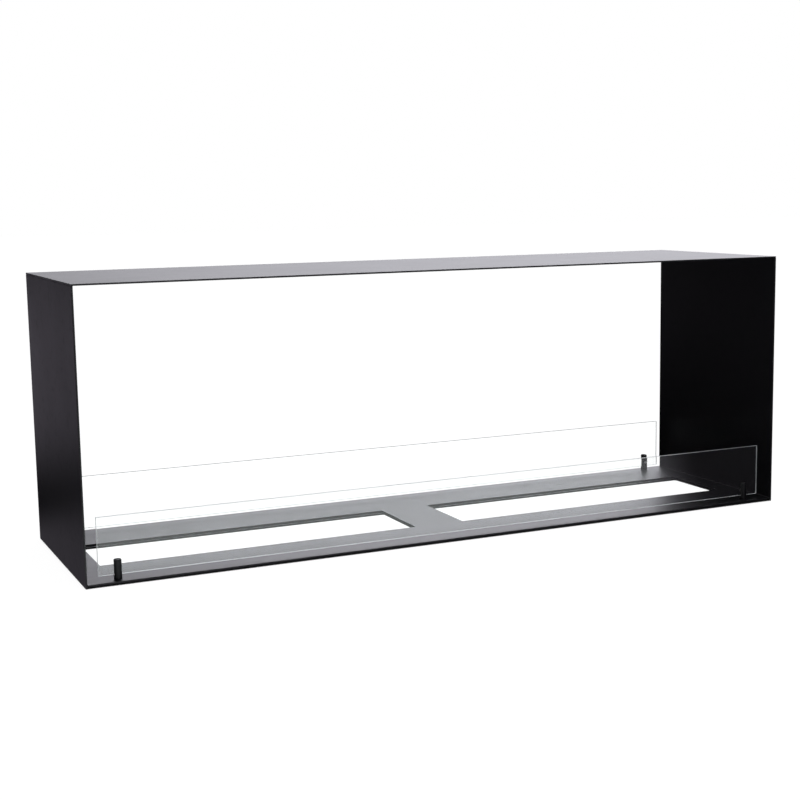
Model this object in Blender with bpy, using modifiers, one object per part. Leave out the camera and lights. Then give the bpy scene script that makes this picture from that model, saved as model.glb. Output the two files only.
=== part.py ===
# Double-sided fireplace: an open black casing, two burner seats and two glass panes held in slotted posts
# Metres, +Z up. X runs along the width, the front faces -Y, and the origin is at the centre of the
# standing face, where the side panels and the burner seats end.

import math

import bmesh
import bpy

MM = 0.001

# Casing
CASING_WIDTH = 1400 * MM
CASING_HEIGHT = 500 * MM
CASING_DEPTH = 400 * MM
SHEET = 3 * MM
SHEET_EDGE_RADIUS = 0.5 * MM

# Clearance between pieces that touch on the real object
TOUCH_GAP = 0.3 * MM

# Burner cut-outs in the base panel and the seats under them
BRIDGE_WIDTH = 100 * MM
CUTOUT_END_MARGIN = 47 * MM
CUTOUT_DEPTH = 160 * MM
SEAT_THICKNESS = 3 * MM
SEAT_BORDER = 20 * MM
SEAT_LEDGE = 9.5 * MM
SEAT_END_RELIEF = 10 * MM

# Glass panes
PANE_THICKNESS = 4 * MM
PANE_HEIGHT = 100 * MM
PANE_END_GAP = 22 * MM
PANE_SETBACK = 19 * MM
PANE_AIR_GAP = 8 * MM
PANE_EDGE_CHAMFER = 0.5 * MM

# Posts and their liners
POST_EAR = 3.6 * MM
POST_HEIGHT = 34 * MM
POST_CHAMFER = 0.7 * MM
POST_INSET = 33 * MM
LINER_WALL = 0.8 * MM

# Set screws that clamp the panes
SET_SCREW_DIAMETER = 5 * MM
SET_SCREW_HEIGHT = 17 * MM
SET_SCREW_PROUD = 1.4 * MM
SET_SCREW_CHAMFER = 0.5 * MM
SET_SCREW_SOCKET = 2.5 * MM
SET_SCREW_SOCKET_DEPTH = 2.4 * MM

# Foot screws that hold the posts from below
FOOT_SCREW_DIAMETER = 4 * MM
FOOT_SCREW_HEAD = 7.5 * MM
FOOT_BORE_WALL = 1.5 * MM
FOOT_SCREW_SOCKET = 2.5 * MM
FOOT_SCREW_SOCKET_DEPTH = 1.4 * MM

# Cutters run past what they cut by this much
OVERRUN = 2 * MM

# Facets
TURNED_STEPS = 64
SCREW_STEPS = 40
HEXAGON_SIDES = 6
BEVEL_SEGMENTS = 2
SHARP_ANGLE = math.radians(30)
MERGE_DISTANCE = 0.01 * MM

# Levels and widths that follow from the sizes above
deck_top = SEAT_THICKNESS + TOUCH_GAP + SHEET
inner_width = CASING_WIDTH - 2 * SHEET
wall_height = CASING_HEIGHT - SHEET - TOUCH_GAP
cutout_length = (inner_width - BRIDGE_WIDTH) / 2 - CUTOUT_END_MARGIN
cutout_x = (BRIDGE_WIDTH + cutout_length) / 2
seat_opening_depth = CUTOUT_DEPTH - 2 * SEAT_LEDGE
pane_length = inner_width - 2 * PANE_END_GAP
pane_y = CASING_DEPTH / 2 - PANE_SETBACK
post_x = pane_length / 2 - POST_INSET
liner_inner_half = PANE_THICKNESS / 2 + TOUCH_GAP
liner_outer_half = liner_inner_half + LINER_WALL
slot_half = liner_outer_half + TOUCH_GAP
post_radius = slot_half + POST_EAR
slot_floor = PANE_AIR_GAP - 2 * TOUCH_GAP - LINER_WALL
slot_chord_half = math.sqrt(post_radius ** 2 - slot_half ** 2)
foot_bore_top = slot_floor - FOOT_BORE_WALL
foot_screw_top = foot_bore_top - TOUCH_GAP


def clear_scene():
    for obj in list(bpy.data.objects):
        bpy.data.objects.remove(obj, do_unlink=True)


def add_collection(name):
    collection = bpy.data.collections.new(name)
    bpy.context.scene.collection.children.link(collection)
    return collection


def add_material(name, colour, roughness, metallic, alpha=1.0):
    material = bpy.data.materials.new(name)
    material.use_nodes = True
    shader = material.node_tree.nodes["Principled BSDF"]
    shader.inputs["Base Color"].default_value = (*colour, 1.0)
    shader.inputs["Roughness"].default_value = roughness
    shader.inputs["Metallic"].default_value = metallic
    shader.inputs["Alpha"].default_value = alpha
    material.diffuse_color = (*colour, alpha)
    return material


def link_mesh(name, bm, collection, material=None):
    mesh = bpy.data.meshes.new(name)
    bm.to_mesh(mesh)
    bm.free()
    obj = bpy.data.objects.new(name, mesh)
    collection.objects.link(obj)
    if material:
        mesh.materials.append(material)
    return obj


# A box of the given size whose centre is offset from the object's origin
def add_box(name, size, centre, collection, material=None):
    bm = bmesh.new()
    bmesh.ops.create_cube(bm, size=1.0)
    bmesh.ops.scale(bm, verts=bm.verts, vec=size)
    bmesh.ops.translate(bm, verts=bm.verts, vec=centre)
    return link_mesh(name, bm, collection, material)


# A prism or cylinder along local Z, from bottom to top
def add_prism(name, radius, bottom, top, sides, collection, material=None):
    bm = bmesh.new()
    bmesh.ops.create_cone(
        bm, cap_ends=True, segments=sides, radius1=radius, radius2=radius, depth=top - bottom
    )
    bmesh.ops.translate(bm, verts=bm.verts, vec=(0, 0, (top + bottom) / 2))
    return link_mesh(name, bm, collection, material)


# A turned solid: the outline lists (radius, height) down its outer side, from axis to axis
def add_turned(name, outline, steps, collection, material=None):
    bm = bmesh.new()
    points = [bm.verts.new((radius, 0, height)) for radius, height in outline]
    for first, second in zip(points, points[1:]):
        bm.edges.new((first, second))
    obj = link_mesh(name, bm, collection, material)
    screw = obj.modifiers.new("turn", "SCREW")
    screw.axis = "Z"
    screw.steps = steps
    screw.render_steps = steps
    screw.use_merge_vertices = True
    screw.merge_threshold = MERGE_DISTANCE
    screw.use_smooth_shade = False
    return obj


# A plate whose outline is a 2D curve, extruded about the object's own XY plane
def add_outline_solid(name, outline, half_thickness, collection, material):
    curve = bpy.data.curves.new(name, "CURVE")
    curve.dimensions = "2D"
    curve.fill_mode = "BOTH"
    curve.extrude = half_thickness
    spline = curve.splines.new("POLY")
    spline.points.add(len(outline) - 1)
    for point, (x, y) in zip(spline.points, outline):
        point.co = (x, y, 0, 1)
    spline.use_cyclic_u = True
    curve.materials.append(material)
    obj = bpy.data.objects.new(name, curve)
    collection.objects.link(obj)
    return obj


def round_edges(obj, width, segments=BEVEL_SEGMENTS):
    bevel = obj.modifiers.new("edges", "BEVEL")
    bevel.width = width
    bevel.segments = segments
    bevel.limit_method = "ANGLE"
    bevel.angle_limit = SHARP_ANGLE


def cut(obj, cutter):
    cutter.hide_render = True
    cutter.display_type = "WIRE"
    boolean = obj.modifiers.new(cutter.name, "BOOLEAN")
    boolean.operation = "DIFFERENCE"
    boolean.solver = "EXACT"
    boolean.object = cutter


# Settles a round piece's modifiers into its mesh, then shades it smooth between its sharp edges
def shade_round(obj):
    depsgraph = bpy.context.evaluated_depsgraph_get()
    mesh = bpy.data.meshes.new_from_object(obj.evaluated_get(depsgraph))
    obj.modifiers.clear()
    obj.data = mesh
    mesh.shade_smooth()
    mesh.set_sharp_from_angle(angle=SHARP_ANGLE)


def make_top_panel():
    size = (CASING_WIDTH, CASING_DEPTH, SHEET)
    panel = add_box("top_panel", size, (0, 0, 0), parts, casing_black)
    panel.location = (0, 0, CASING_HEIGHT - SHEET / 2)
    round_edges(panel, SHEET_EDGE_RADIUS)


def make_side_panel(name, side):
    size = (SHEET, CASING_DEPTH, wall_height)
    panel = add_box(name, size, (0, 0, 0), parts, casing_black)
    panel.location = (side * (CASING_WIDTH - SHEET) / 2, 0, wall_height / 2)
    round_edges(panel, SHEET_EDGE_RADIUS)


def make_base_panel():
    size = (inner_width - 2 * TOUCH_GAP, CASING_DEPTH, SHEET)
    panel = add_box("base_panel", size, (0, 0, 0), parts, casing_black)
    panel.location = (0, 0, deck_top - SHEET / 2)
    for name, side in (("left", -1), ("right", 1)):
        hole_size = (cutout_length, CUTOUT_DEPTH, SHEET + 2 * OVERRUN)
        hole = add_box(name + "_burner_cutout", hole_size, (0, 0, 0), cutters)
        hole.location = (side * cutout_x, 0, deck_top - SHEET / 2)
        cut(panel, hole)
    round_edges(panel, SHEET_EDGE_RADIUS)
    return panel


# A frame under each cut-out. Its opening is narrower, which leaves a ledge along each long side, and runs
# on under the base panel at the outer end.
def make_burner_seat(name, side):
    size = (cutout_length + 2 * SEAT_BORDER, CUTOUT_DEPTH + 2 * SEAT_BORDER, SEAT_THICKNESS)
    seat = add_box(name, size, (0, 0, 0), parts, casing_black)
    seat.location = (side * cutout_x, 0, SEAT_THICKNESS / 2)
    hole_length = cutout_length + SEAT_END_RELIEF
    hole_size = (hole_length, seat_opening_depth, SEAT_THICKNESS + 2 * OVERRUN)
    hole = add_box(name + "_opening", hole_size, (0, 0, 0), cutters)
    hole.location = (side * (cutout_x + SEAT_END_RELIEF / 2), 0, SEAT_THICKNESS / 2)
    cut(seat, hole)
    round_edges(seat, SHEET_EDGE_RADIUS)


def make_pane(name, facing):
    size = (pane_length, PANE_THICKNESS, PANE_HEIGHT)
    pane = add_box(name, size, (0, 0, PANE_HEIGHT / 2), parts, clear_glass)
    pane.location = (0, facing * pane_y, deck_top + PANE_AIR_GAP)
    round_edges(pane, PANE_EDGE_CHAMFER, segments=1)


# The place of one post: an empty on the deck whose +Y points to the middle of the casing
def add_post_place(corner, side, facing):
    place = bpy.data.objects.new(corner + "_post_place", None)
    place.location = (side * post_x, facing * pane_y, deck_top)
    place.rotation_euler = (0, 0, 0 if facing < 0 else math.pi)
    parts.objects.link(place)
    return place


def make_post(corner, place):
    outline = [
        (0, POST_HEIGHT),
        (post_radius - POST_CHAMFER, POST_HEIGHT),
        (post_radius, POST_HEIGHT - POST_CHAMFER),
        (post_radius, TOUCH_GAP),
        (0, TOUCH_GAP),
    ]
    post = add_turned(corner + "_post", outline, TURNED_STEPS, parts, post_black)
    post.parent = place
    slot_height = POST_HEIGHT - slot_floor + OVERRUN
    slot_size = (2 * (post_radius + OVERRUN), 2 * slot_half, slot_height)
    slot = add_box(corner + "_post_slot", slot_size, (0, 0, slot_floor + slot_height / 2), cutters)
    slot.parent = place
    cut(post, slot)
    bore_radius = SET_SCREW_DIAMETER / 2 + TOUCH_GAP
    bore = add_prism(
        corner + "_set_screw_bore", bore_radius, 0, post_radius + OVERRUN, SCREW_STEPS, cutters
    )
    bore.location = (0, 0, SET_SCREW_HEIGHT)
    bore.rotation_euler = (-math.pi / 2, 0, 0)
    bore.parent = place
    cut(post, bore)
    foot_bore_radius = FOOT_SCREW_DIAMETER / 2 + TOUCH_GAP
    foot_bore = add_prism(
        corner + "_foot_bore", foot_bore_radius, -OVERRUN, foot_bore_top, SCREW_STEPS, cutters
    )
    foot_bore.parent = place
    cut(post, foot_bore)
    return post


# A channel that lines the slot, open at the top, with the pane's bottom edge on its floor
def make_liner(corner, place):
    floor = slot_floor + TOUCH_GAP
    top = POST_HEIGHT - POST_CHAMFER
    outline = [
        (-liner_outer_half, top),
        (-liner_outer_half, floor),
        (liner_outer_half, floor),
        (liner_outer_half, top),
        (liner_inner_half, top),
        (liner_inner_half, floor + LINER_WALL),
        (-liner_inner_half, floor + LINER_WALL),
        (-liner_inner_half, top),
    ]
    liner = add_outline_solid(corner + "_post_liner", outline, slot_chord_half, parts, liner_rubber)
    liner.rotation_euler = (math.pi / 2, 0, math.pi / 2)
    liner.parent = place


# A headless screw along local Z, its tip at zero, with a hexagon socket in its outer end
def make_set_screw(corner, place):
    length = post_radius - slot_half + SET_SCREW_PROUD
    radius = SET_SCREW_DIAMETER / 2
    outline = [
        (0, length),
        (radius - SET_SCREW_CHAMFER, length),
        (radius, length - SET_SCREW_CHAMFER),
        (radius, SET_SCREW_CHAMFER),
        (radius - SET_SCREW_CHAMFER, 0),
        (0, 0),
    ]
    screw = add_turned(corner + "_set_screw", outline, SCREW_STEPS, parts, screw_steel)
    socket = add_prism(
        corner + "_set_screw_socket",
        SET_SCREW_SOCKET / math.sqrt(3),
        length - SET_SCREW_SOCKET_DEPTH,
        length + OVERRUN,
        HEXAGON_SIDES,
        cutters,
    )
    for obj in (screw, socket):
        obj.location = (0, slot_half, SET_SCREW_HEIGHT)
        obj.rotation_euler = (-math.pi / 2, 0, 0)
        obj.parent = place
    cut(screw, socket)
    return screw


# A countersunk screw up through the base panel into the post, and the hole that it needs
def make_foot_screw(corner, place, base):
    shank_radius = FOOT_SCREW_DIAMETER / 2
    head_radius = FOOT_SCREW_HEAD / 2
    head_face = TOUCH_GAP - SHEET
    head_top = head_face + head_radius - shank_radius
    outline = [
        (0, foot_screw_top),
        (shank_radius, foot_screw_top),
        (shank_radius, head_top),
        (head_radius, head_face),
        (0, head_face),
    ]
    screw = add_turned(corner + "_foot_screw", outline, SCREW_STEPS, parts, screw_steel)
    screw.parent = place
    socket = add_prism(
        corner + "_foot_screw_socket",
        FOOT_SCREW_SOCKET / math.sqrt(3),
        head_face - OVERRUN,
        head_face + FOOT_SCREW_SOCKET_DEPTH,
        HEXAGON_SIDES,
        cutters,
    )
    socket.parent = place
    cut(screw, socket)
    hole_outline = [
        (0, OVERRUN),
        (shank_radius + TOUCH_GAP, OVERRUN),
        (shank_radius + TOUCH_GAP, head_top),
        (head_radius + TOUCH_GAP, head_face),
        (head_radius + TOUCH_GAP, -SHEET - OVERRUN),
        (0, -SHEET - OVERRUN),
    ]
    hole = add_turned(corner + "_countersink", hole_outline, SCREW_STEPS, cutters)
    hole.parent = place
    cut(base, hole)
    return screw


clear_scene()
parts = add_collection("double_sided_fireplace")
cutters = add_collection("cutters")
casing_black = add_material("casing_black", (0.018, 0.018, 0.020), 0.42, 0.0)
post_black = add_material("post_black", (0.012, 0.012, 0.013), 0.35, 0.0)
clear_glass = add_material("clear_glass", (0.90, 0.95, 0.93), 0.02, 0.0, 0.25)
liner_rubber = add_material("liner_rubber", (0.03, 0.03, 0.03), 0.75, 0.0)
screw_steel = add_material("screw_steel", (0.62, 0.62, 0.60), 0.28, 1.0)

make_top_panel()
make_side_panel("left_side_panel", -1)
make_side_panel("right_side_panel", 1)
base_panel = make_base_panel()
make_burner_seat("left_burner_seat", -1)
make_burner_seat("right_burner_seat", 1)
make_pane("front_pane", -1)
make_pane("back_pane", 1)
round_pieces = []
for end, facing in (("front", -1), ("back", 1)):
    for hand, side in (("left", -1), ("right", 1)):
        corner = end + "_" + hand
        place = add_post_place(corner, side, facing)
        round_pieces.append(make_post(corner, place))
        round_pieces.append(make_set_screw(corner, place))
        round_pieces.append(make_foot_screw(corner, place, base_panel))
        make_liner(corner, place)
for piece in round_pieces:
    shade_round(piece)
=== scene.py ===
# Double-sided fireplace: finishes, fine pieces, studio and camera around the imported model
# Metres, +Z up. X runs along the width and the front faces -Y

import math

import bmesh
import bpy
from mathutils import Matrix, Vector


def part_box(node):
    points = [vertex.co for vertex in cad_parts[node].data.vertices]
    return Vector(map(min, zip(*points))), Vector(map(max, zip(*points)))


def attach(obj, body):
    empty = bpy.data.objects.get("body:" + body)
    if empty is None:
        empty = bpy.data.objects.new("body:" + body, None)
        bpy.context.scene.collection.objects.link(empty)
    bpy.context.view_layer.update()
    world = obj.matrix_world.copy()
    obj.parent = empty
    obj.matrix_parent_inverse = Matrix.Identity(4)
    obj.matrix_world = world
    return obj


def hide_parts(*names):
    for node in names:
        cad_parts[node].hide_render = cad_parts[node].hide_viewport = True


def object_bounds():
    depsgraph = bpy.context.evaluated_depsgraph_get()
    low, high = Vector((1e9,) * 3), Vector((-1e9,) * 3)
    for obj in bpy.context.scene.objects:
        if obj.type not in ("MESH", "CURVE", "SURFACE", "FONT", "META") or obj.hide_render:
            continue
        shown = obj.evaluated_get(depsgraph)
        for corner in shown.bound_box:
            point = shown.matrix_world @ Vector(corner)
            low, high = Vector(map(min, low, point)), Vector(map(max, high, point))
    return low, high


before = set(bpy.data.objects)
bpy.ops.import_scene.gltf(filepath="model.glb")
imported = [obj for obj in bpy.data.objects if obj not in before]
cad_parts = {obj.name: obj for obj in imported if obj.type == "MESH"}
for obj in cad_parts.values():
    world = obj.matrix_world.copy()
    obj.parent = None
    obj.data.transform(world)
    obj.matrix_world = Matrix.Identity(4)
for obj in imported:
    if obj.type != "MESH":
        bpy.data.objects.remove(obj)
cad_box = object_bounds()

MM = 0.001
CORNERS = [end + "_" + hand for end in ("front", "back") for hand in ("left", "right")]

# Clearance between neighbouring pieces, as in the imported model
TOUCH_GAP = 0.3 * MM

# Post: its chamfer, the flare at the slot's mouth and the lead-in of the set screw's bore
POST_CHAMFER = 0.7 * MM
SLOT_FLARE = 0.35 * MM
BORE_LEAD_IN = 0.3 * MM

# Set screw: M5 with a hexagon socket, which ends in the drill's shallow cone
THREAD_PITCH = 0.8 * MM
THREAD_DEPTH = 0.35 * MM
THREAD_FLAT_SHARE = 0.1
SOCKET_WIDTH = 2.5 * MM
SOCKET_DEPTH = 2.4 * MM
SOCKET_LEAD_IN = 0.15 * MM
DRILL_POINT = SOCKET_WIDTH / 8
SCREW_CHAMFER = 0.5 * MM

# Foot screw: M4, countersunk
FOOT_SHANK = 4 * MM
FOOT_SOCKET_DEPTH = 1.4 * MM
FOOT_EDGE = 0.2 * MM

# Glass pane
PANE_CORNER = 1 * MM
PANE_ARRIS = 0.5 * MM

# Liner
LINER_WALL = 0.8 * MM
LINER_ROUNDING = 0.15 * MM

# Weld along the inner corners of the casing, with the bead that fills the joint
WELD_RADIUS = 1.4 * MM
WELD_END = 1.5 * MM
WELD_LIFT = 0.02 * MM
WELD_DEPTH = 2.7 * MM

# Cutters run past what they cut by this much
OVERRUN = 2 * MM

# Relief of the finishes
PEEL_HEIGHT = 0.015 * MM
COAT_GRAIN_HEIGHT = 0.005 * MM
DISH_HEIGHT = 0.4 * MM
POST_RING_HEIGHT = 0.012 * MM
GRINDING_HEIGHT = 0.010 * MM
TURNING_HEIGHT = 0.004 * MM
RUBBER_GRAIN_HEIGHT = 0.030 * MM

# Waves per metre of what shows in the finishes. Three values are those along X, Y and Z
DISH_WAVES = 4.0
CLOUD_WAVES = 7.0
WIPE_WAVES = 6.0
WIPE_STRETCH = (2.0, 11.0, 11.0)
PEEL_WAVES = 480.0
COAT_GRAIN_WAVES = 2400.0
POST_RING_WAVES = (60.0, 60.0, 3600.0)
DUST_WAVES = 900.0
FILM_WAVES = 9.0
FILM_STRETCH = (1.0, 1.0, 2.6)
GRINDING_WAVES = (160.0, 5200.0, 160.0)
FROST_WAVES = 1500.0
TURNING_WAVES = (300.0, 4200.0, 300.0)
OXIDE_WAVES = 700.0
RUBBER_GRAIN_WAVES = 3200.0
BLOOM_WAVES = 260.0

# Refraction of the coats, the glass and the rubber
COAT_IOR = 1.40
POST_COAT_IOR = 1.52
GLASS_IOR = 1.52
RUBBER_IOR = 1.50

# Colours. Where there are two, the finish wanders between them
COAT_BLACKS = ((0.0007, 0.0008, 0.0013, 1.0), (0.0014, 0.0016, 0.0024, 1.0))
POST_BLACKS = ((0.0016, 0.0017, 0.0021, 1.0), (0.0030, 0.0031, 0.0036, 1.0))
FACE_TINTS = ((0.985, 0.994, 0.990, 1.0), (0.972, 0.984, 0.980, 1.0))
EDGE_TINTS = ((0.86, 0.92, 0.91, 1.0), (0.95, 0.98, 0.98, 1.0))
FACE_SHADOW_TINT = (0.96, 0.98, 0.97, 1.0)
EDGE_SHADOW_TINT = (0.88, 0.93, 0.91, 1.0)
# Grey of the painted shade on the panes' top edges and ends
PAINTED_SHADE_GREY = (0.05, 0.06, 0.07, 1.0)
STEEL_GREYS = ((0.72, 0.715, 0.70, 1.0), (0.86, 0.855, 0.84, 1.0))
RUBBER_BLACKS = ((0.020, 0.020, 0.020, 1.0), (0.038, 0.038, 0.037, 1.0))
WHITE = (1.0, 1.0, 1.0, 1.0)
COOL_WHITE = (0.94, 0.93, 1.0, 1.0)
PLUM_WHITE = (0.92, 0.84, 1.0, 1.0)
MINT_WHITE = (0.93, 1.0, 0.99, 1.0)
FLOOR_WHITE = (0.86, 0.86, 0.86, 1.0)

# Painted shade on the panes' ground edges: how grey the top edge is painted, the ends as a share of that,
# and the cosines to a direction from which and up to which a surface counts as facing it
EDGE_PAINTED_SHADE = {"front": 0.05, "back": 0.9}
END_PAINTED_SHADE_SHARE = 0.6
FACING_SPAN = (0.6, 0.95)

# Facets
POST_STEPS = 96
SCREW_STEPS = 48
STEPS_PER_PITCH = 8
ARC_STEPS = 6
EDGE_SEGMENTS = 2
ROUND_PROFILE = 0.5
SHARP_ANGLE = math.radians(32)

# Cosines to Y: above the first an edge runs along it and a side faces it, above the second a face is flat
ALONG = 0.9
FLAT = 0.9999

# Camera, fitted to the corners in the photo. Pixels are those of an 800 pixel square
PHOTO_PIXELS = 800
FOCAL_PIXELS = 1443.2
AXIS_COLUMN_PIXELS = 440
CAMERA_PLACE = (-1.1677, -2.5231, 0.6420)
CAMERA_TURN = math.radians(25.6592)
CAMERA_DIP = math.radians(8.3168)
CAMERA_ROLL = math.radians(-0.7472)
SENSOR_WIDTH = 36.0

# Overhead soft box, in metres and watts
LAMP_PLACE = (-0.4, -0.2, 3.2)
LAMP_AIM = (0, 0, 0.2)
LAMP_WIDTH = 4.0
LAMP_DEPTH = 3.0
LAMP_POWER = 60.0

# Studio that the glossy surfaces mirror: the light left in its dark parts, and its bright backdrop behind on
# the right. Spans are cosines to a direction, from none of the light to all of it
UPWARD = (0.0, 0.0, 1.0)
STUDIO_DARK = 0.003
BACKDROP_LIGHT = 3.15
BACKDROP_SIDE = (0.79, 0.61, 0.0)
BACKDROP_SIDE_SPAN = (0.48, 0.82)
BACKDROP_FOOT_SPAN = (-0.02, 0.32)
BACKDROP_HEAD_SPAN = (0.85, 0.60)

# Off its middle the backdrop is dimmer low down and brighter high up. High up all of it is a little dimmer
OFF_MIDDLE_SPAN = (0.98, 0.80)
HIGH_SPAN = (0.22, 0.50)
LOW_DIMMING = 0.28
HIGH_GAIN = 0.90
HIGH_DIMMING = 0.15

# Soft boxes in the studio: direction, strength and span of each
SOFT_BOXES = {
    "front": ((0.08, -0.97, 0.22), 2.8, (0.90, 0.98)),
    "left": ((-0.88, -0.30, 0.37), 0.45, (0.72, 0.95)),
    "back": ((-0.25, 0.78, 0.57), 0.3, (0.88, 0.97)),
}

# Glow from above, between these cosines to straight up
GLOW_ABOVE = 0.5
GLOW_ABOVE_SPAN = (0.45, 0.95)

# Floor: its reach to each side, the shadow close to the box, and how white the camera sees it
FLOOR_REACH = 20.0
SHADOW_REACH = 0.03
SHADOW_SAMPLES = 8
SHADOW_SPAN = (0.32, 0.52)
SEEN_WHITE = 1.06
SEEN_WHITE_THROUGH_GLASS = 1.2
SEEN_SHARE = 0.9

# Lit patch of the floor in front, as the sheets mirror it. Its right border leans. Spans are in metres
PATCH_START_SPAN = (-0.16, -0.30)
PATCH_LEAN = 0.62
PATCH_RIGHT_SPAN = (0.46, 0.19)
PATCH_LIGHT = 1.17
PATCH_REST = 0.05
PATCH_END_SPAN = (-1.2, -0.65)
PATCH_END_LIGHT = 0.15

# Lit lane of the floor along the left wall, which widens towards the back. Spans are in metres
LANE_MIDDLE = -0.7
LANE_LEAN = 0.2
LANE_WIDENING = 0.22
LANE_SPAN = (0.14, 0.36)
LANE_START_SPAN = (-0.6, -0.25)
LANE_NEAR_LIGHT = 0.18
LANE_NEAR_SPAN = (0.54, 0.20)
LANE_FAR_GAIN = 1.05
LANE_FAR_LIGHT = 0.36
LANE_FAR_SPAN = (0.55, 1.7)
LANE_FARTHEST_LIGHT = 0.26
LANE_FARTHEST_SPAN = (1.6, 5.0)


# Shader nodes, written as sums and products
def feed(tree, place, value):
    if isinstance(value, Value):
        tree.links.new(value.socket, place)
    else:
        place.default_value = value


class Value:
    """A node's output. Python's operators on it add Math nodes to its own tree."""

    def __init__(self, tree, socket):
        self.tree = tree
        self.socket = socket

    def maths(self, operation, *values):
        node = self.tree.nodes.new("ShaderNodeMath")
        node.operation = operation
        for place, value in zip(node.inputs, values):
            feed(self.tree, place, value)
        return Value(self.tree, node.outputs[0])

    def __add__(self, other):
        return self.maths("ADD", self, other)

    def __sub__(self, other):
        return self.maths("SUBTRACT", self, other)

    def __rsub__(self, other):
        return self.maths("SUBTRACT", other, self)

    def __mul__(self, other):
        return self.maths("MULTIPLY", self, other)

    def __truediv__(self, other):
        return self.maths("DIVIDE", self, other)

    def __abs__(self):
        return self.maths("ABSOLUTE", self)

    def or_more(self, other):
        return self.maths("MAXIMUM", self, other)

    def or_less(self, other):
        return self.maths("MINIMUM", self, other)

    __radd__ = __add__
    __rmul__ = __mul__


class Finish:
    """The node tree of one material or world."""

    def __init__(self, owner):
        owner.use_nodes = True
        self.owner = owner
        self.tree = owner.node_tree
        self.tree.nodes.clear()

    def node(self, kind, settings=None, sockets=None, output=0):
        node = self.tree.nodes.new("ShaderNode" + kind)
        for name, value in (settings or {}).items():
            setattr(node, name, value)
        for name, value in (sockets or {}).items():
            feed(self.tree, node.inputs[name], value)
        return Value(self.tree, node.outputs[output]) if node.outputs else None

    def place(self):
        return self.node("TexCoord", output="Object")

    def stretched(self, place, scale):
        return self.node("Mapping", sockets={"Vector": place, "Scale": scale})

    def parts_of(self, vector):
        return [self.node("SeparateXYZ", sockets={0: vector}, output=axis) for axis in "XYZ"]

    def along(self, vector, direction):
        settings = {"operation": "DOT_PRODUCT"}
        return self.node("VectorMath", settings, {0: vector, 1: direction}, output="Value")

    def noise(self, place, scale, detail=2.0, roughness=0.5):
        sockets = {"Vector": place, "Scale": scale, "Detail": detail, "Roughness": roughness}
        return self.node("TexNoise", sockets=sockets)

    def ramp(self, value, low, high):
        sockets = {"Value": value, "From Min": low, "From Max": high}
        return self.node("MapRange", {"interpolation_type": "SMOOTHSTEP"}, sockets)

    def scaled(self, colour, factor):
        return self.node("VectorMath", {"operation": "SCALE"}, {0: colour, "Scale": factor})

    def mix(self, factor, first, second):
        return self.node("Mix", {"data_type": "RGBA"}, {0: factor, 6: first, 7: second}, output=2)

    def mix_shader(self, factor, first, second):
        return self.node("MixShader", sockets={0: factor, 1: first, 2: second})

    def bump(self, height, distance):
        return self.node("Bump", sockets={"Height": height, "Distance": distance})

    def ray(self, kind):
        return self.node("LightPath", output="Is " + kind + " Ray")

    def bounced(self, kind):
        return self.node("LightPath", output=kind + " Depth").or_less(1)

    def end(self, surface):
        kind = "OutputWorld" if isinstance(self.owner, bpy.types.World) else "OutputMaterial"
        self.node(kind, sockets={"Surface": surface})
        return self.owner


def new_finish(name):
    return Finish(bpy.data.materials.new(name))


# Black powder coat on sheet steel: peel waves of about 2 mm, a fine grain, faint clouds and wipe marks, and
# the slight dishing of the sheets
def powder_coat():
    finish = new_finish("powder_coat_black")
    place = finish.place()
    dish = finish.noise(place, DISH_WAVES, 1.0)
    peel = finish.noise(place, PEEL_WAVES, 1.0)
    grain = finish.noise(place, COAT_GRAIN_WAVES, 1.0)
    height = peel * PEEL_HEIGHT + grain * COAT_GRAIN_HEIGHT + dish * DISH_HEIGHT
    cloud = finish.noise(place, CLOUD_WAVES, 3.0)
    wipe = finish.noise(finish.stretched(place, WIPE_STRETCH), WIPE_WAVES, 4.0, 0.62)
    smear = finish.ramp(wipe, 0.50, 0.74)
    sockets = {
        "Base Color": finish.mix(cloud, *COAT_BLACKS),
        "Roughness": 0.365 + 0.06 * cloud + 0.035 * smear + 0.03 * grain,
        "Normal": finish.bump(height, 1.0),
        "IOR": COAT_IOR,
    }
    return finish.end(finish.node("BsdfPrincipled", sockets=sockets))


# Smooth satin black on turned steel, with the tool's rings showing faintly through the coat
def post_coat():
    finish = new_finish("post_coat_black")
    place = finish.place()
    rings = finish.noise(finish.stretched(place, POST_RING_WAVES), 1.0)
    dust = finish.noise(place, DUST_WAVES)
    sockets = {
        "Base Color": finish.mix(dust, *POST_BLACKS),
        "Roughness": 0.34 + 0.08 * rings + 0.05 * dust,
        "Normal": finish.bump(rings, POST_RING_HEIGHT),
        "IOR": POST_COAT_IOR,
        "Specular IOR Level": 0.22,
    }
    return finish.end(finish.node("BsdfPrincipled", sockets=sockets))


# Glass lets the lamps through, so what stands behind it isn't left in the dark
def clear_to_lamps(finish, glass, tint):
    clear = finish.node("BsdfTransparent", sockets={"Color": tint})
    return finish.mix_shader(finish.ray("Shadow"), glass, clear)


# Polished faces of the panes, with the faint film that wiping leaves
def pane_face():
    finish = new_finish("pane_face_glass")
    place = finish.place()
    wiped = finish.noise(finish.stretched(place, FILM_STRETCH), FILM_WAVES, 4.0, 0.6)
    film = finish.ramp(wiped, 0.5, 0.8)
    sockets = {
        "Base Color": finish.mix(film, *FACE_TINTS),
        "Roughness": 0.003 + 0.012 * film,
        "IOR": GLASS_IOR,
        "Transmission Weight": 1.0,
    }
    glass = finish.node("BsdfPrincipled", sockets=sockets)
    return finish.end(clear_to_lamps(finish, glass, FACE_SHADOW_TINT))
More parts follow.
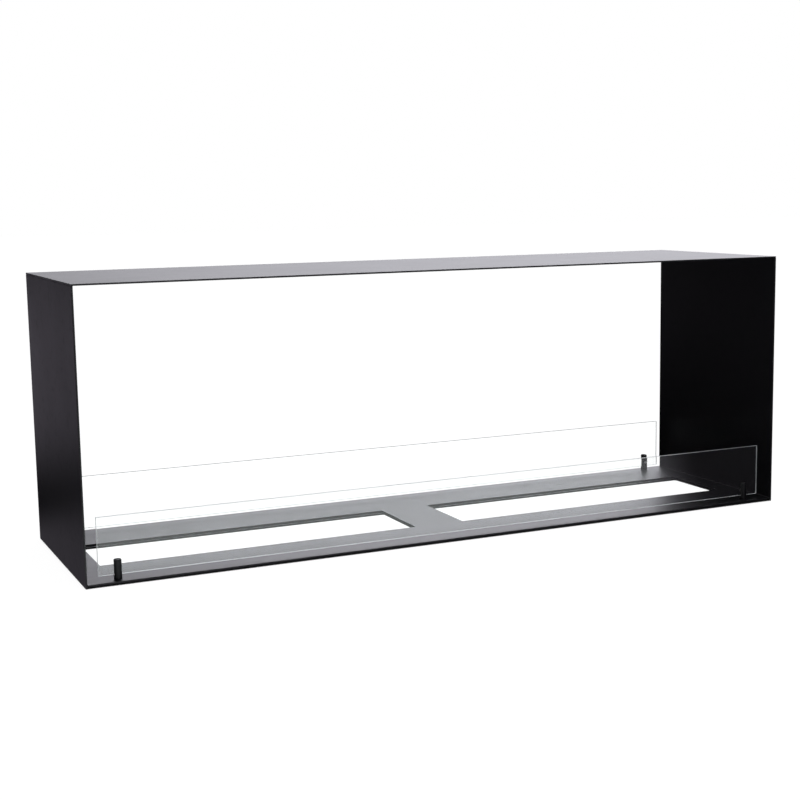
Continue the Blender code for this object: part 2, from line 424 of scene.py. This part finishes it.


# Ground edges of the panes: frosted, faintly green, with the grinding wheel's fine lines. The top edge gets
# painted shade, a matt grey, and the ends a little less of it
def pane_edge(end):
    finish = new_finish(end + "_pane_edge_ground_glass")
    place = finish.place()
    lines = finish.noise(finish.stretched(place, GRINDING_WAVES), 1.0)
    frost = finish.noise(place, FROST_WAVES)
    facing = finish.parts_of(finish.node("NewGeometry", output="Normal"))
    end_edge = finish.ramp(abs(facing[0]), *FACING_SPAN)
    top_edge = finish.ramp(facing[2], *FACING_SPAN)
    sockets = {
        "Base Color": finish.mix(frost, *EDGE_TINTS),
        "Roughness": 0.36 + 0.14 * frost,
        "Normal": finish.bump(lines + frost, GRINDING_HEIGHT),
        "IOR": GLASS_IOR,
        "Transmission Weight": 0.72,
    }
    glass = finish.node("BsdfPrincipled", sockets=sockets)
    # Painted shade: a matt grey is mixed in where the edge faces up, and less of it where the edge faces an
    # end
    painted_shade = finish.node("BsdfDiffuse", sockets={"Color": PAINTED_SHADE_GREY})
    painted_shade_share = (top_edge + END_PAINTED_SHADE_SHARE * end_edge) * EDGE_PAINTED_SHADE[end]
    edge = finish.mix_shader(painted_shade_share, glass, painted_shade)
    return finish.end(clear_to_lamps(finish, edge, EDGE_SHADOW_TINT))


# Stainless steel of the screws, turned, with a thin uneven film of oxide
def screw_steel():
    finish = new_finish("screw_steel_bright")
    place = finish.place()
    turned = finish.noise(finish.stretched(place, TURNING_WAVES), 1.0)
    oxide = finish.noise(place, OXIDE_WAVES, 3.0)
    sockets = {
        "Base Color": finish.mix(oxide, *STEEL_GREYS),
        "Metallic": 1.0,
        "Roughness": 0.46 + 0.10 * turned + 0.08 * oxide,
        "Normal": finish.bump(turned, TURNING_HEIGHT),
    }
    return finish.end(finish.node("BsdfPrincipled", sockets=sockets))


# Matt black heat-proof rubber with a fine moulded grain and a little bloom
def liner_rubber():
    finish = new_finish("liner_rubber_black")
    place = finish.place()
    grain = finish.noise(place, RUBBER_GRAIN_WAVES)
    bloom = finish.ramp(finish.noise(place, BLOOM_WAVES, 3.0), 0.45, 0.75)
    sockets = {
        "Base Color": finish.mix(bloom, *RUBBER_BLACKS),
        "Roughness": 0.72 + 0.14 * grain,
        "Normal": finish.bump(grain, RUBBER_GRAIN_HEIGHT),
        "IOR": RUBBER_IOR,
    }
    return finish.end(finish.node("BsdfPrincipled", sockets=sockets))


# A piece from a mesh in work, with its materials, and shaded smooth between its sharp edges
def add_piece(name, bm, *materials):
    mesh = bpy.data.meshes.new(name)
    bmesh.ops.recalc_face_normals(bm, faces=bm.faces)
    bm.to_mesh(mesh)
    bm.free()
    for material in materials:
        mesh.materials.append(material)
    mesh.shade_smooth()
    mesh.set_sharp_from_angle(angle=SHARP_ANGLE)
    piece = bpy.data.objects.new(name, mesh)
    piece.modifiers.new("even_shading", "WEIGHTED_NORMAL").keep_sharp = True
    bpy.context.scene.collection.objects.link(piece)
    return piece


# Closed rings of points with as many points each, joined one to the next, and flat faces at both ends
def add_rings(bm, rings):
    rows = [[bm.verts.new(point) for point in ring] for ring in rings]
    for row, following in zip(rows, rows[1:]):
        for index in range(len(row)):
            after = (index + 1) % len(row)
            bm.faces.new((row[index], row[after], following[after], following[index]))
    bm.faces.new(rows[0])
    bm.faces.new(rows[-1])


def circle(radius, height, steps):
    angles = [math.tau * step / steps for step in range(steps)]
    return [Vector((radius * math.cos(a), radius * math.sin(a), height)) for a in angles]


# A hexagon whose points lie at the same angles as a circle's
def hexagon(width, height, steps):
    points = []
    side = math.tau / 6
    for step in range(steps):
        angle = math.tau * step / steps
        off_flat = (angle + side / 2) % side - side / 2
        radius = width / 2 / math.cos(off_flat)
        points.append(Vector((radius * math.cos(angle), radius * math.sin(angle), height)))
    return points


def add_prism(bm, outline, direction):
    add_rings(bm, [outline, [point + direction for point in outline]])


def round_edges(bm, edges, radius, segments):
    bmesh.ops.bevel(bm, geom=edges, offset=radius, segments=segments, profile=ROUND_PROFILE, affect="EDGES")


# Cuts one closed mesh from another and gives the result as a new bmesh
def cut_away(name, bm, cutter_bm):
    pieces = []
    for label, mesh_in_work in ((name, bm), (name + "_cutter", cutter_bm)):
        bmesh.ops.recalc_face_normals(mesh_in_work, faces=mesh_in_work.faces)
        mesh = bpy.data.meshes.new(label)
        mesh_in_work.to_mesh(mesh)
        mesh_in_work.free()
        pieces.append(bpy.data.objects.new(label, mesh))
        bpy.context.scene.collection.objects.link(pieces[-1])
    body, cutter = pieces
    boolean = body.modifiers.new("cut", "BOOLEAN")
    boolean.operation = "DIFFERENCE"
    boolean.solver = "EXACT"
    boolean.object = cutter
    depsgraph = bpy.context.evaluated_depsgraph_get()
    settled = bpy.data.meshes.new_from_object(body.evaluated_get(depsgraph))
    result = bmesh.new()
    result.from_mesh(settled)
    for piece in pieces:
        bpy.data.objects.remove(piece)
    return result


# Turns a piece made upright on its own origin to its corner: local +Y points to the middle of the casing
def put_at_corner(bm, corner, place):
    turn = Matrix.Rotation(0 if corner.startswith("front") else math.pi, 4, "Z")
    bmesh.ops.transform(bm, matrix=Matrix.Translation(place) @ turn, verts=bm.verts)


def middle_of(low, high):
    return (low + high) / 2


# A turned post with a slot for the pane and its liner, flared at the mouth, and bores for its two screws
def make_post(corner, finish):
    low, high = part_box(corner + "_post")
    liner_low, liner_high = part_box(corner + "_post_liner")
    screw_low, screw_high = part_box(corner + "_set_screw")
    foot_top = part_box(corner + "_foot_screw")[1].z + TOUCH_GAP - low.z
    middle = middle_of(low, high)
    radius = (high.x - low.x) / 2
    height = high.z - low.z
    slot_half = (liner_high.y - liner_low.y) / 2 + TOUCH_GAP
    slot_floor = liner_low.z - TOUCH_GAP - low.z
    bm = bmesh.new()
    profile = [(radius - POST_CHAMFER, height), (radius, height - POST_CHAMFER), (radius, 0)]
    add_rings(bm, [circle(r, z, POST_STEPS) for r, z in profile])
    slot = bmesh.new()
    reach = radius + OVERRUN
    flare_height = height - SLOT_FLARE
    mouth = slot_half + SLOT_FLARE + OVERRUN
    section = [
        (-slot_half, slot_floor),
        (slot_half, slot_floor),
        (slot_half, flare_height),
        (mouth, height + OVERRUN),
        (-mouth, height + OVERRUN),
        (-slot_half, flare_height),
    ]
    add_prism(slot, [Vector((-reach, y, z)) for y, z in section], Vector((2 * reach, 0, 0)))
    bm = cut_away(corner + "_slot", bm, slot)
    bore = bmesh.new()
    bore_radius = (screw_high.x - screw_low.x) / 2 + TOUCH_GAP
    bore_height = middle_of(screw_low, screw_high).z - low.z
    mouth_radius = bore_radius + BORE_LEAD_IN
    shoulder = math.sqrt(radius ** 2 - bore_radius ** 2) - BORE_LEAD_IN
    rows = [(bore_radius, 0), (bore_radius, shoulder), (mouth_radius + OVERRUN, radius + OVERRUN)]
    lean = Matrix.Translation((0, 0, bore_height)) @ Matrix.Rotation(-math.pi / 2, 4, "X")
    add_rings(bore, [[lean @ point for point in circle(r, z, SCREW_STEPS)] for r, z in rows])
    bm = cut_away(corner + "_bore", bm, bore)
    foot = bmesh.new()
    foot_radius = FOOT_SHANK / 2 + TOUCH_GAP
    add_rings(foot, [circle(foot_radius, z, SCREW_STEPS) for z in (-OVERRUN, foot_top)])
    bm = cut_away(corner + "_foot_bore", bm, foot)
    put_at_corner(bm, corner, (middle.x, middle.y, low.z))
    return add_piece(corner + "_round_post", bm, finish)


# A channel with soft edges in the post's slot
def make_liner(corner, finish):
    low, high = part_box(corner + "_post_liner")
    middle = middle_of(low, high)
    outer = (high.y - low.y) / 2
    inner = outer - LINER_WALL
    height = high.z - low.z
    section = [
        (-outer, height),
        (-outer, 0),
        (outer, 0),
        (outer, height),
        (inner, height),
        (inner, LINER_WALL),
        (-inner, LINER_WALL),
        (-inner, height),
    ]
    half_length = (high.x - low.x) / 2
    bm = bmesh.new()
    outline = [Vector((-half_length, y, z)) for y, z in section]
    add_prism(bm, outline, Vector((2 * half_length, 0, 0)))
    sharp = [edge for edge in bm.edges if edge.calc_face_angle(0) > SHARP_ANGLE]
    round_edges(bm, sharp, LINER_ROUNDING, EDGE_SEGMENTS)
    put_at_corner(bm, corner, (middle.x, middle.y, low.z))
    return add_piece(corner + "_soft_liner", bm, finish)


# Radius of a threaded shank at an angle and a height, with the chamfer at each end
def thread_radius(radius, length, angle, height):
    turn = (height / THREAD_PITCH - angle / math.tau) % 1
    flank = (1 - abs(2 * turn - 1) - THREAD_FLAT_SHARE) / (1 - 2 * THREAD_FLAT_SHARE)
    threaded = radius - THREAD_DEPTH * max(0, min(1, flank))
    to_end = min(height, length - height)
    return min(threaded, radius - max(0, SCREW_CHAMFER - to_end))


# A headless screw along local Z, its tip at zero, with a hexagon socket in its outer end
def make_set_screw(corner, finish):
    low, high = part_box(corner + "_set_screw")
    middle = middle_of(low, high)
    radius = (high.x - low.x) / 2
    length = high.y - low.y
    rows = round(length / THREAD_PITCH * STEPS_PER_PITCH)
    angles = [math.tau * step / SCREW_STEPS for step in range(SCREW_STEPS)]
    rings = []
    for row in range(rows + 1):
        height = length * row / rows
        radii = [thread_radius(radius, length, angle, height) for angle in angles]
        rings.append([Vector((r * math.cos(a), r * math.sin(a), height)) for r, a in zip(radii, angles)])
    rings.append(hexagon(SOCKET_WIDTH + 2 * SOCKET_LEAD_IN, length, SCREW_STEPS))
    rings.append(hexagon(SOCKET_WIDTH, length - SOCKET_LEAD_IN, SCREW_STEPS))
    rings.append(hexagon(SOCKET_WIDTH, length - SOCKET_DEPTH, SCREW_STEPS))
    rings.append(circle(DRILL_POINT, length - SOCKET_DEPTH - DRILL_POINT, SCREW_STEPS))
    bm = bmesh.new()
    add_rings(bm, rings)
    lean = Matrix.Rotation(-math.pi / 2, 4, "X")
    bmesh.ops.transform(bm, matrix=lean, verts=bm.verts)
    tip = low.y if corner.startswith("front") else high.y
    put_at_corner(bm, corner, (middle.x, tip, middle.z))
    return add_piece(corner + "_clamp_screw", bm, finish)


# A countersunk screw seen from below, its shank up in the post
def make_foot_screw(corner, finish):
    low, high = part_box(corner + "_foot_screw")
    middle = middle_of(low, high)
    head = (high.x - low.x) / 2
    shank = FOOT_SHANK / 2
    height = high.z - low.z
    neck = head - shank
    profile = [
        (shank - FOOT_EDGE, height),
        (shank, height - FOOT_EDGE),
        (shank, neck),
        (head, FOOT_EDGE),
        (head - FOOT_EDGE, 0),
    ]
    rings = [circle(r, z, SCREW_STEPS) for r, z in profile]
    rings.append(hexagon(SOCKET_WIDTH + FOOT_EDGE, 0, SCREW_STEPS))
    rings.append(hexagon(SOCKET_WIDTH, FOOT_EDGE, SCREW_STEPS))
    rings.append(hexagon(SOCKET_WIDTH, FOOT_SOCKET_DEPTH, SCREW_STEPS))
    bm = bmesh.new()
    add_rings(bm, rings)
    put_at_corner(bm, corner, (middle.x, middle.y, low.z))
    return add_piece(corner + "_countersunk_screw", bm, finish)


# A pane with its corners rounded a little, then ground edges all round
def make_pane(end, face, edge):
    low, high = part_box(end + "_pane")
    bm = bmesh.new()
    bmesh.ops.create_cube(bm, size=1.0)
    bmesh.ops.scale(bm, verts=bm.verts, vec=high - low)
    bmesh.ops.translate(bm, verts=bm.verts, vec=middle_of(low, high))
    corners = [e for e in bm.edges if abs((e.verts[0].co - e.verts[1].co).normalized().y) > ALONG]
    round_edges(bm, corners, PANE_CORNER, ARC_STEPS)
    rim = [e for e in bm.edges if sum(abs(f.normal.y) > ALONG for f in e.link_faces) == 1]
    round_edges(bm, rim, PANE_ARRIS, EDGE_SEGMENTS)
    bm.normal_update()
    for polygon in bm.faces:
        polygon.material_index = 0 if abs(polygon.normal.y) > FLAT else 1
    return add_piece(end + "_glass_pane", bm, face, edge)


# A hollow bead in an inner corner and the joint under it: u runs along one sheet, v along the other
def make_weld(name, start, end, u_axis, v_axis, finish):
    fillet = []
    for step in range(ARC_STEPS + 1):
        angle = math.pi / 2 * step / ARC_STEPS
        u = WELD_RADIUS * (1 - math.sin(angle)) + WELD_LIFT
        v = WELD_RADIUS * (1 - math.cos(angle)) + WELD_LIFT
        fillet.append((u, v))
    joint = [
        (WELD_LIFT, -WELD_DEPTH),
        (TOUCH_GAP - WELD_LIFT, -WELD_DEPTH),
        (TOUCH_GAP - WELD_LIFT, WELD_LIFT),
    ]
    bm = bmesh.new()
    outline = [start + u_axis * u + v_axis * v for u, v in joint + fillet]
    add_prism(bm, outline, end - start)
    return add_piece(name, bm, finish)


def make_welds(finish):
    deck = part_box("base_panel")[1].z
    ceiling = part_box("top_panel")[0].z
    welds = []
    for hand, side in (("left", -1), ("right", 1)):
        wall_low, wall_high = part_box(hand + "_side_panel")
        inner = wall_high.x if side < 0 else wall_low.x
        inward = Vector((-side, 0, 0))
        for level, height, away in (("base", deck, 1), ("top", ceiling, -1)):
            start = Vector((inner, wall_low.y + WELD_END, height))
            end = Vector((inner, wall_high.y - WELD_END, height))
            axes = (inward, Vector((0, 0, away)))
            if level == "top":
                axes = axes[::-1]
            welds.append(make_weld(hand + "_" + level + "_weld", start, end, *axes, finish))
    return welds


# Studio: a bright backdrop behind on the right, soft boxes in front, at the left and at the back, and a glow
# from above
def studio_light(finish, direction):
    rise = finish.along(direction, UPWARD)
    across = finish.along(direction, BACKDROP_SIDE)
    backdrop = finish.ramp(across, *BACKDROP_SIDE_SPAN)
    backdrop = backdrop * finish.ramp(rise, *BACKDROP_FOOT_SPAN) * finish.ramp(rise, *BACKDROP_HEAD_SPAN)
    off_middle = finish.ramp(across, *OFF_MIDDLE_SPAN)
    high = finish.ramp(rise, *HIGH_SPAN)
    backdrop = backdrop * (1 + off_middle * (HIGH_GAIN * high - LOW_DIMMING) - HIGH_DIMMING * high)
    light = STUDIO_DARK + BACKDROP_LIGHT * backdrop + GLOW_ABOVE * finish.ramp(rise, *GLOW_ABOVE_SPAN)
    for side, strength, span in SOFT_BOXES.values():
        light = light + strength * finish.ramp(finish.along(direction, side), *span)
    return light


# One for what the camera sees straight through a pane, and zero after any reflection
def through_glass(finish):
    bounced = (finish.bounced("Glossy") + finish.bounced("Diffuse")).or_less(1)
    return finish.ray("Transmission") * (1 - bounced)


# White to the camera and through the panes, and the studio to all else
def make_world():
    finish = Finish(bpy.data.worlds.new("studio"))
    seen = finish.ray("Camera").or_more(through_glass(finish))
    light = studio_light(finish, finish.node("TexCoord", output="Generated"))
    colour = finish.mix(seen, finish.scaled(COOL_WHITE[:3], light), WHITE)
    bpy.context.scene.world = finish.end(finish.node("Background", sockets={"Color": colour}))


# Light that the sheets mirror in the floor in front of the box
def front_patch(finish, x, y):
    right = finish.ramp(x + PATCH_LEAN * y, *PATCH_RIGHT_SPAN)
    patch = finish.ramp(y, *PATCH_START_SPAN) * (PATCH_REST + PATCH_LIGHT * right)
    return patch * (PATCH_END_LIGHT + (1 - PATCH_END_LIGHT) * finish.ramp(y, *PATCH_END_SPAN))


# Light that the left wall mirrors in the floor beside and behind the box
def left_lane(finish, x, y):
    off_middle = abs(x + LANE_LEAN * y - LANE_MIDDLE) / (1 + LANE_WIDENING * y.or_more(0))
    lane = (1 - finish.ramp(off_middle, *LANE_SPAN)) * finish.ramp(y, *LANE_START_SPAN)
    far = LANE_FAR_LIGHT * finish.ramp(y, *LANE_FAR_SPAN)
    far = far + LANE_FARTHEST_LIGHT * finish.ramp(y, *LANE_FARTHEST_SPAN)
    return lane * (LANE_FAR_GAIN * far + LANE_NEAR_LIGHT * finish.ramp(y, *LANE_NEAR_SPAN))


# White to the camera and through the panes, with a faint shadow close to the box. Rays off a glossy surface
# find it dark, but for the patch in front and the lane at the left
def make_floor():
    finish = new_finish("floor_white")
    x, y = finish.parts_of(finish.place())[:2]
    front = front_patch(finish, x, y)
    left = left_lane(finish, x, y)
    settings = {"samples": SHADOW_SAMPLES}
    open_to_sky = finish.node("AmbientOcclusion", settings, {"Distance": SHADOW_REACH}, output="AO")
    unshadowed = finish.ramp(open_to_sky, *SHADOW_SPAN)
    camera = finish.ray("Camera")
    glass = through_glass(finish)
    seen = (SEEN_WHITE * camera + SEEN_WHITE_THROUGH_GLASS * glass) * unshadowed
    tint = finish.mix(front, PLUM_WHITE, MINT_WHITE)
    mirrored = finish.scaled(tint, STUDIO_DARK + front + left)
    glossy = finish.ray("Glossy") * (1 - glass)
    colour = finish.mix(glossy, finish.scaled(WHITE[:3], seen), mirrored)
    glow = finish.node("Emission", sockets={"Color": colour, "Strength": 1.0})
    matt = finish.node("BsdfDiffuse", sockets={"Color": FLOOR_WHITE})
    share = (SEEN_SHARE * camera.or_more(glass)).or_more(glossy)
    white = finish.end(finish.mix_shader(share, matt, glow))
    white.cycles.emission_sampling = "NONE"
    bm = bmesh.new()
    bmesh.ops.create_grid(bm, x_segments=1, y_segments=1, size=FLOOR_REACH)
    bmesh.ops.translate(bm, verts=bm.verts, vec=(0, 0, cad_box[0].z - TOUCH_GAP))
    add_piece("floor", bm, white)


def make_lamp():
    lamp = bpy.data.lights.new("overhead_softbox", "AREA")
    lamp.shape = "RECTANGLE"
    lamp.size = LAMP_WIDTH
    lamp.size_y = LAMP_DEPTH
    lamp.energy = LAMP_POWER
    holder = bpy.data.objects.new("overhead_softbox", lamp)
    holder.location = LAMP_PLACE
    holder.rotation_euler = (Vector(LAMP_AIM) - Vector(LAMP_PLACE)).to_track_quat("-Z", "Y").to_euler()
    bpy.context.scene.collection.objects.link(holder)


# A camera that looks ahead and down, rolled a little, with the photo's lens
def make_camera():
    camera = bpy.data.cameras.new("photo_camera")
    camera.sensor_width = SENSOR_WIDTH
    camera.lens = SENSOR_WIDTH * FOCAL_PIXELS / PHOTO_PIXELS
    camera.shift_x = (PHOTO_PIXELS / 2 - AXIS_COLUMN_PIXELS) / PHOTO_PIXELS
    holder = bpy.data.objects.new("photo_camera", camera)
    ahead = Vector((
        math.sin(CAMERA_TURN) * math.cos(CAMERA_DIP),
        math.cos(CAMERA_TURN) * math.cos(CAMERA_DIP),
        -math.sin(CAMERA_DIP),
    ))
    level = Vector((math.cos(CAMERA_TURN), -math.sin(CAMERA_TURN), 0))
    upward = level.cross(ahead)
    right = math.cos(CAMERA_ROLL) * level + math.sin(CAMERA_ROLL) * upward
    up = math.cos(CAMERA_ROLL) * upward - math.sin(CAMERA_ROLL) * level
    axes = Matrix((right, up, -ahead)).transposed().to_4x4()
    holder.matrix_world = Matrix.Translation(CAMERA_PLACE) @ axes
    bpy.context.scene.collection.objects.link(holder)
    bpy.context.scene.camera = holder


# Finishes on the sheets of the casing
coat = powder_coat()
for node in ("top_panel", "left_side_panel", "right_side_panel", "base_panel",
             "left_burner_seat", "right_burner_seat"):
    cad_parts[node].material_slots[0].material = coat

for weld in make_welds(coat):
    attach(weld, "casing")

# Panes
face = pane_face()
for end in ("front", "back"):
    pane = make_pane(end, face, pane_edge(end))
    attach(pane, end + "_pane")
    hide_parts(end + "_pane")

# Posts, and what is in them
post_black = post_coat()
rubber = liner_rubber()
steel = screw_steel()
for corner in CORNERS:
    for make, finish, body, node, slot in (
        (make_post, post_black, "casing", "_post", "post_black"),
        (make_liner, rubber, "casing", "_post_liner", "liner_rubber"),
        (make_set_screw, steel, corner + "_set_screw", "_set_screw", "screw_steel"),
        (make_foot_screw, steel, "casing", "_foot_screw", "screw_steel"),
    ):
        piece = make(corner, finish)
        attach(piece, body)
        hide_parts(corner + node)

make_world()
make_floor()
make_lamp()
make_camera()
bpy.context.scene.view_settings.view_transform = "Standard"
